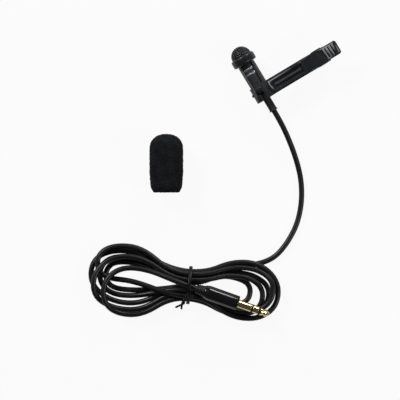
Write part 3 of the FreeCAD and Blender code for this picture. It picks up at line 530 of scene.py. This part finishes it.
# Each lobe: where the cable crosses the waist, its first crest, its end and its second crest.
LOBES = [
    ((0, 0.3, 0), (-29.5, -4.3, 0), (-35.8, 1.6, 0), (-29.5, 7.4, 0)),
    ((0, 1.15, 1), (16.0, 5.0, 0), (26.0, -1.0, 0), (17.0, -7.1, 0)),
    ((0, -2.31, 1.85), (-29.5, -6.8, 0), (-38.4, 1.8, 0), (-29.5, 9.6, 0)),
    ((0, 3.47, 1), (21.5, 7.0, 0), (34.0, -2.0, 0), (24.0, -8.6, 0)),
    ((0, -1.15, 1), (-27.0, -9.9, 0), (-42.2, 2.4, 0), (-29.5, 12.1, 0)),
    ((0, 5.8, 1), (24.0, 11.7, 0.9), (37.9, -1.0, 1), (25.6, -12.0, 1)),
    ((0, -4.64, 1.85), (-32.0, -0.2, 1), (-39.8, 6.2, 1), (-29.5, 14.2, 1)),
    ((0, 4.64, 1.85), (23.5, 9.4, 1), (35.6, 0.4, 1.9), (24.0, -9.4, 1.3)),
    ((0, -3.47, 1), (-27.0, -12.7, 0.6), (-40.7, -2.6, 1.8), (-27.5, 9.9, 1.2)),
    ((0, 2.31, 1.85), (21.0, 5.6, 1), (31.4, -2.4, 1), (22.0, -10.7, 0)),
    ((0, -5.8, 1), (-26.5, -14.7, 1.4), (-36.2, -5.5, 2.4), (-25.0, 5.2, 2)),
]


def from_hank(point):
    """A point of the hank, along it, across it and up, in the frame's directions."""
    return HANK_TURN @ Vector(point) + TIE


def on_layer(stop, lift=0.0):
    """The cable's middle where it lies on a layer."""
    along, across, layer = stop
    return Vector((along, across, CABLE / 2 + layer * LAYER + lift))


def hank_stops():
    """Where the cable passes waist, crest and lobe end, and which way it heads there."""
    stops = [(on_layer(FIRST_STOP), ENTRY_WAY)]
    for i, (waist, first, end, second) in enumerate(LOBES):
        out = Vector((math.copysign(1, end[0]), 0, 0))
        across = Vector((0, math.copysign(1, second[1] - first[1]), 0))
        stops.append((on_layer(waist, WAIST_LIFT), out if i else CROSSING_WAY))
        stops.append((on_layer(first), out))
        stops.append((on_layer(end), across))
        stops.append((on_layer(second), -out))
    stops.append((PLUG_START - PLUG_WAY * CABLE, PLUG_WAY))
    return [(stop, way.normalized()) for stop, way in stops]


def turning_points(start, heading, end, arrival):
    """The two corners of the run between stops, one on each stop's heading.

    Each is as far from its stop as from the point halfway to the other corner.
    """
    reach = end - start
    lean = heading + arrival
    a = 4 - lean.dot(lean)
    b = 2 * reach.dot(lean)
    c = -reach.dot(reach)
    straight = abs(a) < 1e-9
    away = -c / b if straight else (-b + math.sqrt(b * b - 4 * a * c)) / (2 * a)
    return [start + heading * away, end - arrival * away]


def cable_route():
    """The corners of the whole cable's way, in millimetres."""
    stops = hank_stops()
    points = [MIC - Vector((0, BOOT_END, 0))]
    points += [Vector(p) for p in LEAD_POINTS]
    points += [from_hank(on_layer(p)) for p in HANK_ENTRY]
    for (a, go), (b, arrive) in zip(stops, stops[1:]):
        points += [from_hank(p) for p in turning_points(a, go, b, arrive)]
    points += [from_hank(stops[-1][0]), from_hank(PLUG_START)]
    return points


def wire_curve(points, thickness, order=3, cyclic=False):
    """A round wire or cord, a NURBS curve whose corners are the points, in millimetres."""
    curve = bpy.data.curves.new("wire", "CURVE")
    curve.dimensions = "3D"
    curve.bevel_depth = thickness / 2 * MM
    curve.bevel_resolution = WIRE_STEPS
    curve.use_fill_caps = True
    spline = curve.splines.new("NURBS")
    spline.points.add(len(points) - 1)
    for target, point in zip(spline.points, points):
        target.co = (*(point * MM), 1)
    spline.order_u = order
    spline.use_endpoint_u = not cyclic
    spline.use_cyclic_u = cyclic
    spline.resolution_u = WIRE_STEPS
    return put("wire", curve)


route = cable_route()
cable = keep(wire_curve(route, CABLE), "cable", "cable_jacket", "cable_lead", "cable_hank")


# Plug, turned pieces on one axle

plug_way = HANK_TURN @ PLUG_WAY
PLUG_AXLE = (from_hank(PLUG_START) * MM, plug_way, plug_way.cross(UPWARD).normalized())
# Lengths run forward from the cable's end, and a profile's corners are (along, radius, rounding).
RELIEF_LENGTH, RELIEF_THIN, RELIEF_THICK = 3.7, 2.05, 2.45
RELIEF_GROOVES, GROOVE_WIDTH, GROOVE_DEPTH = 3, 0.5, 0.3
HANDLE_END, HANDLE_BACK, HANDLE_R, HANDLE_TAPER = 19.0, 2.65, 3.15, 1.9
CONTACT_R, INSULATOR_R = 1.75, 1.73
# From the handle on: name, slot, CAD node, length, radius and rounding.
CONTACTS = [
    ("sleeve_contact", "gold", "plug_sleeve", 6.0, CONTACT_R, 0.1),
    ("rear_insulator", "insulator", "plug_rear_insulator", 0.8, INSULATOR_R, 0.04),
    ("ring_contact", "gold", "plug_ring", 2.4, CONTACT_R, 0.1),
    ("front_insulator", "insulator", "plug_front_insulator", 0.8, INSULATOR_R, 0.04),
]
TIP_SHOULDER, TIP_WAIST, TIP_CREST, TIP_LENGTH = 0.5, 1.44, 2.4, 4.0
TIP_SHOULDER_R, TIP_WAIST_R, TIP_CREST_R, TIP_NOSE_R = 1.65, 1.12, 1.66, 0.62


def make_relief():
    """Flexible tail with grooves moulded round it."""
    corners = [(0, CABLE / 2, 0), (0, RELIEF_THIN, 0.3)]
    pitch = RELIEF_LENGTH / (RELIEF_GROOVES + 1)
    for i in range(RELIEF_GROOVES):
        middle = pitch * (i + 1)
        r = RELIEF_THIN + (RELIEF_THICK - RELIEF_THIN) * middle / RELIEF_LENGTH
        corners += [
            (middle - GROOVE_WIDTH / 2, r, 0.12),
            (middle, r - GROOVE_DEPTH, 0.1),
            (middle + GROOVE_WIDTH / 2, r, 0.12),
        ]
    corners += [(RELIEF_LENGTH, RELIEF_THICK, 0.1), (RELIEF_LENGTH, CABLE / 2, 0)]
    return keep(lathe(PLUG_AXLE, corners), "relief", "plug_rubber", "plug_relief")


def make_handle():
    """Glossy grip, tapered at its back."""
    corners = [
        (RELIEF_LENGTH, 0, 0),
        (RELIEF_LENGTH, HANDLE_BACK, 0.35),
        (RELIEF_LENGTH + HANDLE_TAPER, HANDLE_R, 1.2),
        (HANDLE_END, HANDLE_R, 0.45),
        (HANDLE_END, 0, 0),
    ]
    return keep(lathe(PLUG_AXLE, corners, 96), "handle", "plug_plastic", "plug_handle")


def make_contact(name, slot, node, start, end, radius, edge):
    """Plain contact or insulator with its two edges rounded."""
    corners = [(start, 0, 0), (start, radius, edge), (end, radius, edge), (end, 0, 0)]
    return keep(lathe(PLUG_AXLE, corners), name, slot, node)


def make_tip(start):
    """Waisted tip with its shoulder and rounded nose."""
    corners = [
        (start, 0, 0),
        (start, TIP_SHOULDER_R, 0.1),
        (start + TIP_SHOULDER, TIP_SHOULDER_R, 0.2),
        (start + TIP_WAIST, TIP_WAIST_R, 0.35),
        (start + TIP_CREST, TIP_CREST_R, 0.25),
        (start + TIP_LENGTH, TIP_NOSE_R, 0.45),
        (start + TIP_LENGTH, 0, 0),
    ]
    return keep(lathe(PLUG_AXLE, corners), "tip_contact", "gold", "plug_tip")


def make_plug():
    pieces = [make_relief(), make_handle()]
    at = HANDLE_END
    for name, slot, node, length, radius, edge in CONTACTS:
        pieces.append(make_contact(name, slot, node, at, at + length, radius, edge))
        at += length
    pieces.append(make_tip(at))
    return pieces


# Twist tie round the waist

BAND_WIDTH, BAND_THICKNESS, BAND_EDGE = 1.5, 0.7, 0.3
# Corners of the band's loop, across the hank and up.
BAND_LOOP = [
    (-3.2, 0.45),
    (3.2, 0.45),
    (8.1, 3.4),
    (7.4, 7.4),
    (1.9, 10.9),
    (-2.4, 10.9),
    (-7.4, 7.4),
    (-8.1, 3.4),
]
TWIST_START = Vector((0, -3.6, 9.9))
TWIST_WAY = Vector((-0.40, -0.83, -0.38)).normalized()
TWIST_WIRE, TWIST_PITCH, TWIST_TURNS, TWIST_STEPS = 0.85, 3.2, 1.6, 7
TWIST_R = TWIST_WIRE * 0.55
# How far each wire's end is bent aside, in degrees, and its length.
TAILS = [(-34, 4.2), (24, 2.8)]
# Points on an end: the share of its length and the height over its way.
TAIL_POINTS = [(0.4, 0.1), (1.0, -0.3)]


def make_band():
    """Flat coated wire, extruded to its width from the loop it follows."""
    loop = [from_hank((-BAND_WIDTH / 2, y, z)) for y, z in BAND_LOOP]
    band = to_mesh(wire_curve(loop, 0, cyclic=True))
    open_mesh(band)
    across = HANK_TURN @ Vector((BAND_WIDTH * MM, 0, 0))
    bpy.ops.mesh.extrude_region_move(TRANSFORM_OT_translate={"value": across})
    face_outwards()
    close_mesh()
    apply(band, "SOLIDIFY", thickness=BAND_THICKNESS * MM, offset=0.0)
    soften(band, BAND_EDGE)
    return band


def twist_points(turned, aside, tail):
    """One wire of the twist, wound round the other, and its end."""
    side = TWIST_WAY.cross(UPWARD).normalized()
    over = side.cross(TWIST_WAY)
    points = []
    for i in range(round(TWIST_TURNS * TWIST_STEPS) + 1):
        angle = math.tau * i / TWIST_STEPS + turned
        middle = TWIST_START + TWIST_WAY * (TWIST_PITCH * i / TWIST_STEPS)
        points.append(middle + (side * math.cos(angle) + over * math.sin(angle)) * TWIST_R)
    last = points[-1]
    way = Matrix.Rotation(math.radians(aside), 3, "Z") @ TWIST_WAY
    for share, height in TAIL_POINTS:
        points.append(last + way * (tail * share) + UPWARD * height)
    return points


def make_tie():
    """Band, twisted wires and their ends, joined in one piece."""
    band = make_band()
    wires = []
    for i, (aside, tail) in enumerate(TAILS):
        points = [from_hank(p) for p in twist_points(math.pi * i, aside, tail)]
        wires.append(to_mesh(wire_curve(points, TWIST_WIRE, order=4)))
    take(band)
    for wire in wires:
        wire.select_set(True)
    bpy.ops.object.join()
    smooth(band, 50)
    return keep(band, "twist_tie", "tie_plastic", "hank_tie")


make_tie()
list(make_plug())


# Head, turned pieces on one axle

HEAD_AXLE = (MIC * MM, Vector((0, 1, 0)), Vector((1, 0, 0)))
# Play between turned pieces, and between the dome and its seat.
FIT, DOME_FIT = 0.05, 0.03
# Lengths run forward from the collar's rear face, and a profile's corners are (along, radius, rounding).
COLLAR_R, COLLAR_HEIGHT, COLLAR_EDGE, COLLAR_FLOOR = 5.25, 3.5, 0.7, 1.2
DOME_R, DOME_SHEET, DOME_SKIRT = 4.45, 0.4, 0.6
NECK_R, BARREL_R, BORE_R, LAND_R, BARREL_END = 2.5, 2.8, 2.2, 3.0, -12.9
HOLDER_R = 3.7
CAP_END, CAP_SPIGOT = -13.9, -11.7
BOOT_NECK_R, BOOT_R, BOOT_LIP_R, BOOT_LIP = 1.5, 1.65, 1.85, 0.6
BOOT_COLLAR_R, BOOT_COLLAR = 2.0, 0.7


def make_collar():
    """Round-edged ring with seats for the dome, the capsule's holder and the barrel's neck."""
    corners = [
        (0, NECK_R + FIT, 0),
        (0, COLLAR_R, COLLAR_EDGE),
        (COLLAR_HEIGHT, COLLAR_R, COLLAR_EDGE),
        (COLLAR_HEIGHT, DOME_R + DOME_FIT, 0.12),
        (COLLAR_HEIGHT - DOME_SKIRT, DOME_R + DOME_FIT, 0),
        (COLLAR_HEIGHT - DOME_SKIRT, HOLDER_R, 0),
        (COLLAR_FLOOR, HOLDER_R, 0),
        (COLLAR_FLOOR, NECK_R + FIT, 0),
    ]
    keep(lathe(HEAD_AXLE, corners, 96), "collar", "black_metal", "collar_ring")


def make_barrel():
    """Thin tube with its neck in the collar and raised lands."""
    corners = [
        (COLLAR_FLOOR, BORE_R, 0),
        (COLLAR_FLOOR, NECK_R, 0),
        (-FIT, NECK_R, 0),
        (-FIT, BARREL_R, 0.1),
    ]
    for front, rear in LANDS:
        corners += [
            (-front, BARREL_R, 0.06),
            (-front, LAND_R, 0.16),
            (-rear, LAND_R, 0.16),
            (-rear, BARREL_R, 0.06),
        ]
    corners += [(BARREL_END, BARREL_R, 0.1), (BARREL_END, BORE_R, 0)]
    keep(lathe(HEAD_AXLE, corners), "barrel_tube", "barrel_metal", "barrel")


def make_end_cap():
    """Plug of the barrel's rear end, with its spigot in the bore."""
    corners = [
        (CAP_SPIGOT, BOOT_NECK_R, 0),
        (CAP_SPIGOT, BORE_R - FIT, 0.1),
        (BARREL_END, BORE_R - FIT, 0),
        (BARREL_END, BARREL_R, 0.06),
        (CAP_END, BARREL_R, 0.4),
        (CAP_END, BOOT_NECK_R, 0),
    ]
    keep(lathe(HEAD_AXLE, corners), "rear_cap", "black_metal", "end_cap")


def make_boot():
    """Rubber sleeve round the cable, with a collar at the cap and a lip at its end."""
    corners = [
        (CAP_SPIGOT, CABLE / 2, 0),
        (CAP_SPIGOT, BOOT_NECK_R, 0),
        (CAP_END, BOOT_NECK_R, 0),
        (CAP_END, BOOT_COLLAR_R, 0.15),
        (CAP_END - BOOT_COLLAR, BOOT_COLLAR_R, 0.2),
        (CAP_END - BOOT_COLLAR, BOOT_R, 0.1),
        (BOOT_LIP - BOOT_END, BOOT_R, 0.1),
        (BOOT_LIP - BOOT_END, BOOT_LIP_R, 0.2),
        (-BOOT_END, BOOT_LIP_R, 0.2),
        (-BOOT_END, CABLE / 2, 0),
    ]
    keep(lathe(HEAD_AXLE, corners), "boot", "black_rubber", "strain_relief_boot")


DOME_MIDDLE = (MIC + Vector((0, COLLAR_HEIGHT, 0))) * MM
DOME_TURN = (0.35, 0.2, 0.5)
DOME_CUTS = 5
# How far a hole reaches along the triangles' sides, and how near to its corner its face is found.
HOLE, HOLE_FOUND = 0.33, 0.1
# Width of the plain band at the rim, and how near to the rim its points are found.
RIM_BAND, RIM_FOUND = 0.75, 0.01
# The liner's faces lie this far inside the dome's sheet.
LINER_OUTER, LINER_INNER = 0.08, 0.3
LINER_STEPS = 8


def even_ball():
    """Ball of even triangles: a solid of twenty sides, cut up and pushed out to the dome's radius."""
    clear_selection()
    bpy.ops.mesh.primitive_ico_sphere_add(
        subdivisions=1, radius=DOME_R * MM, location=DOME_MIDDLE, rotation=DOME_TURN,
    )
    ball = settle()
    open_mesh(ball)
    bpy.ops.mesh.subdivide(number_cuts=DOME_CUTS)
    close_mesh()
    for vertex in ball.data.vertices:
        vertex.co = DOME_MIDDLE + (vertex.co - DOME_MIDDLE).normalized() * DOME_R * MM
    return ball


def choose_holes(ball, corners):
    """Selects the faces where the triangles' corners were cut off, but for the plain band."""
    for face in ball.data.polygons:
        middle = face.center
        at_corner = min((corner - middle).length for corner in corners) < HOLE_FOUND * MM
        face.select = at_corner and middle.y > DOME_MIDDLE.y + RIM_BAND * MM


def choose_rim(dome):
    for vertex in dome.data.vertices:
        vertex.select = abs(vertex.co.y - DOME_MIDDLE.y) < RIM_FOUND * MM


def make_dome():
    """Perforated sheet: half of a ball with its triangles' corners cut off as holes, and a short skirt."""
    dome = even_ball()
    corners = [vertex.co.copy() for vertex in dome.data.vertices]
    open_mesh(dome)
    bpy.ops.mesh.bevel(offset=HOLE * MM, affect="VERTICES", segments=1)
    bpy.ops.mesh.select_all(action="DESELECT")
    close_mesh()
    choose_holes(dome, corners)
    SCENE.tool_settings.mesh_select_mode = (False, False, True)
    bpy.ops.object.mode_set(mode="EDIT")
    bpy.ops.mesh.delete(type="ONLY_FACE")
    bpy.ops.mesh.select_mode(type="VERT")
    bpy.ops.mesh.select_all(action="SELECT")
    bpy.ops.mesh.bisect(plane_co=DOME_MIDDLE, plane_no=(0, 1, 0), clear_inner=True, threshold=1e-7)
    bpy.ops.mesh.select_all(action="DESELECT")
    close_mesh()
    choose_rim(dome)
    bpy.ops.object.mode_set(mode="EDIT")
    bpy.ops.mesh.extrude_region_move(TRANSFORM_OT_translate={"value": (0, -DOME_SKIRT * MM, 0)})
    face_outwards()
    close_mesh()
    apply(dome, "SOLIDIFY", thickness=DOME_SHEET * MM, offset=-1.0)
    apply(dome, "SUBSURF", levels=1, render_levels=1)
    smooth(dome, 60)
    keep(dome, "perforated_dome", "grille_metal", "grille_dome")


def make_liner():
    """Thin cloth liner behind the dome's holes."""
    bow = [math.pi / 2 * k / LINER_STEPS for k in range(LINER_STEPS + 1)]
    corners = []
    for gap, angles in ((LINER_OUTER, bow), (LINER_INNER, reversed(bow))):
        r = DOME_R - DOME_SHEET - gap
        corners += [(COLLAR_HEIGHT + r * math.sin(a), r * math.cos(a), 0) for a in angles]
    keep(lathe(HEAD_AXLE, corners, 48), "dome_liner", "felt")


make_collar()
make_barrel()
make_end_cap()
make_boot()
make_dome()
make_liner()


# Clip: copies of the moulded pieces with their edges rounded

# Name, CAD node, body, slot, finish and the rounding of the edges.
CLIP_PIECES = [
    ("jaw", "clip_jaw", "clip", "clip_plastic", "jaw_plastic", 0.16),
    ("lever", "clip_lever", "clip_lever", "clip_plastic", "clip_plastic", 0.26),
    ("pin", "hinge_pin", "clip", "steel", "steel", 0.12),
]


def make_clip():
    for name, node, body, slot, finish, edge in CLIP_PIECES:
        piece = copy_of(node)
        soften(piece, edge)
        keep(piece, name, slot, node, body=body, finish=finish)


def make_spring():
    """Torsion spring: a copy of its CAD node, smoothly shaded and fixed in place."""
    piece = copy_of("clip_spring")
    smooth(piece, 60)
    keep(piece, "spring", "steel", "clip_spring", body=None)
    joint = next(joint for joint in frame["joints"] if joint["name"] == "clip_open")
    hinge = Vector(joint["pos_m"])
    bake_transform(piece)


make_clip()
make_spring()


# Foam windscreen

SCREEN_MIDDLE = Vector((-38.1, -6.75, 7.2))
SCREEN_TURN = math.radians(59)
SCREEN_TIP = Vector((math.cos(SCREEN_TURN), math.sin(SCREEN_TURN), 0))
# Lengths run from the mouth to the crown.
SCREEN_LENGTH, SCREEN_R, SCREEN_LIP, SCREEN_FOOT, SCREEN_FLARE = 25, 7.2, 5.5, 6.75, 8
SCREEN_BORE, SCREEN_DEPTH, SCREEN_CORNER = 4.2, 16, 2.3
CROWN_HEIGHT, CROWN_FULLNESS, CROWN_STEPS = 6.4, 0.9, 12
FOAM_STEP = 0.34
CELL_SIZE, CELL_DEPTH, CELL_LEVEL = 0.9, 0.35, 0.75


def screen_profile():
    """Bore, rounded lip, slightly flared side and full crown."""
    corners = [
        (SCREEN_DEPTH, 0, 0),
        (SCREEN_DEPTH, SCREEN_BORE, 1.2),
        (0, SCREEN_BORE, 0.2),
        (0, SCREEN_LIP, 0.8),
        (SCREEN_CORNER, SCREEN_FOOT, 2.6),
        (SCREEN_FLARE, SCREEN_R, 12),
    ]
    shoulder = SCREEN_LENGTH - CROWN_HEIGHT
    for k in range(CROWN_STEPS + 1):
        a = math.pi / 2 * k / CROWN_STEPS
        rise = math.sin(a) ** CROWN_FULLNESS
        width = abs(math.cos(a)) ** CROWN_FULLNESS
        corners.append((shoulder + CROWN_HEIGHT * rise, SCREEN_R * width, 0))
    return corners


def make_windscreen():
    """Blown foam cap: its profile turned, meshed evenly and roughened by its cells."""
    mouth = (SCREEN_MIDDLE - SCREEN_TIP * (SCREEN_LENGTH / 2)) * MM
    piece = lathe((mouth, SCREEN_TIP, SCREEN_TIP.cross(UPWARD)), screen_profile(), 64)
    apply(piece, "REMESH", mode="VOXEL", voxel_size=FOAM_STEP * MM, use_smooth_shade=True)
    cells = bpy.data.textures.new("foam_cells", "VORONOI")
    cells.noise_scale = CELL_SIZE * MM
    apply(
        piece, "DISPLACE", texture=cells, texture_coords="LOCAL", strength=CELL_DEPTH * MM,
        mid_level=CELL_LEVEL,
    )
    keep(piece, "foam_windscreen", "foam", "windscreen", body="windscreen")


make_windscreen()


# Table and light

TABLE_SIZE = 6
# The table's own grey, and the share of plain white mixed into it for the camera and in gloss.
TABLE_GREY = 0.6
TABLE_SEEN, TABLE_IN_GLOSS = 0.93, 0.4
# Name, place to the photograph's right and up from its middle, height, width, length and watts.
LAMPS = [
    ("key", -0.75, 0.75, 0.8, 0.4, 0.3, 12),
    ("fill", 0.95, -0.35, 0.75, 0.35, 0.3, 5),
    ("back", 0.45, 1.1, 0.55, 0.5, 0.3, 6),
]
WORLD_LIGHT = 0.06


def make_table():
    """Grey table that takes the object's shadow, shown nearly white and, in gloss, partly so."""
    clear_selection()
    bpy.ops.mesh.primitive_grid_add(x_subdivisions=2, y_subdivisions=2, size=TABLE_SIZE)
    table = bpy.context.object
    table.name = "table"
    s = new_material("table")
    seen = s.node("LightPath", output="Is Camera Ray") * TABLE_SEEN
    glossy = s.node("LightPath", output="Is Glossy Ray")
    clear = s.node("LightPath", output="Is Transmission Ray")
    mirrored = glossy.most(clear) * TABLE_IN_GLOSS
    lit = s.node("BsdfDiffuse", None, {"Color": grey(TABLE_GREY)})
    plain = s.node("Emission", None, {"Color": grey(1.0), "Strength": 1.0})
    mixed = s.node("MixShader", None, {0: seen.most(mirrored), 1: lit, 2: plain})
    s.node("OutputMaterial", None, {"Surface": mixed})
    table.data.materials.append(MATERIALS["table"])


def add_lamp(name, right, up, height, width, length, watts):
    """A soft lamp placed by the photograph's own directions, aimed at the object."""
    data = bpy.data.lights.new(name, "AREA")
    data.shape = "RECTANGLE"
    data.size = width
    data.size_y = length
    data.energy = watts
    lamp = put(name, data)
    spot = MIDDLE + RIGHT * right + UP * up
    spot.z = height
    lamp.location = spot
    lamp.rotation_euler = (MIDDLE - spot).to_track_quat("-Z", "Y").to_euler()


def add_world():
    world = bpy.data.worlds.new("world")
    world.use_nodes = True
    background = world.node_tree.nodes["Background"]
    background.inputs["Color"].default_value = grey(1.0)
    background.inputs["Strength"].default_value = WORLD_LIGHT
    SCENE.world = world


make_table()
for row in LAMPS:
    add_lamp(*row)
add_world()
SCENE.view_settings.view_transform = "Standard"
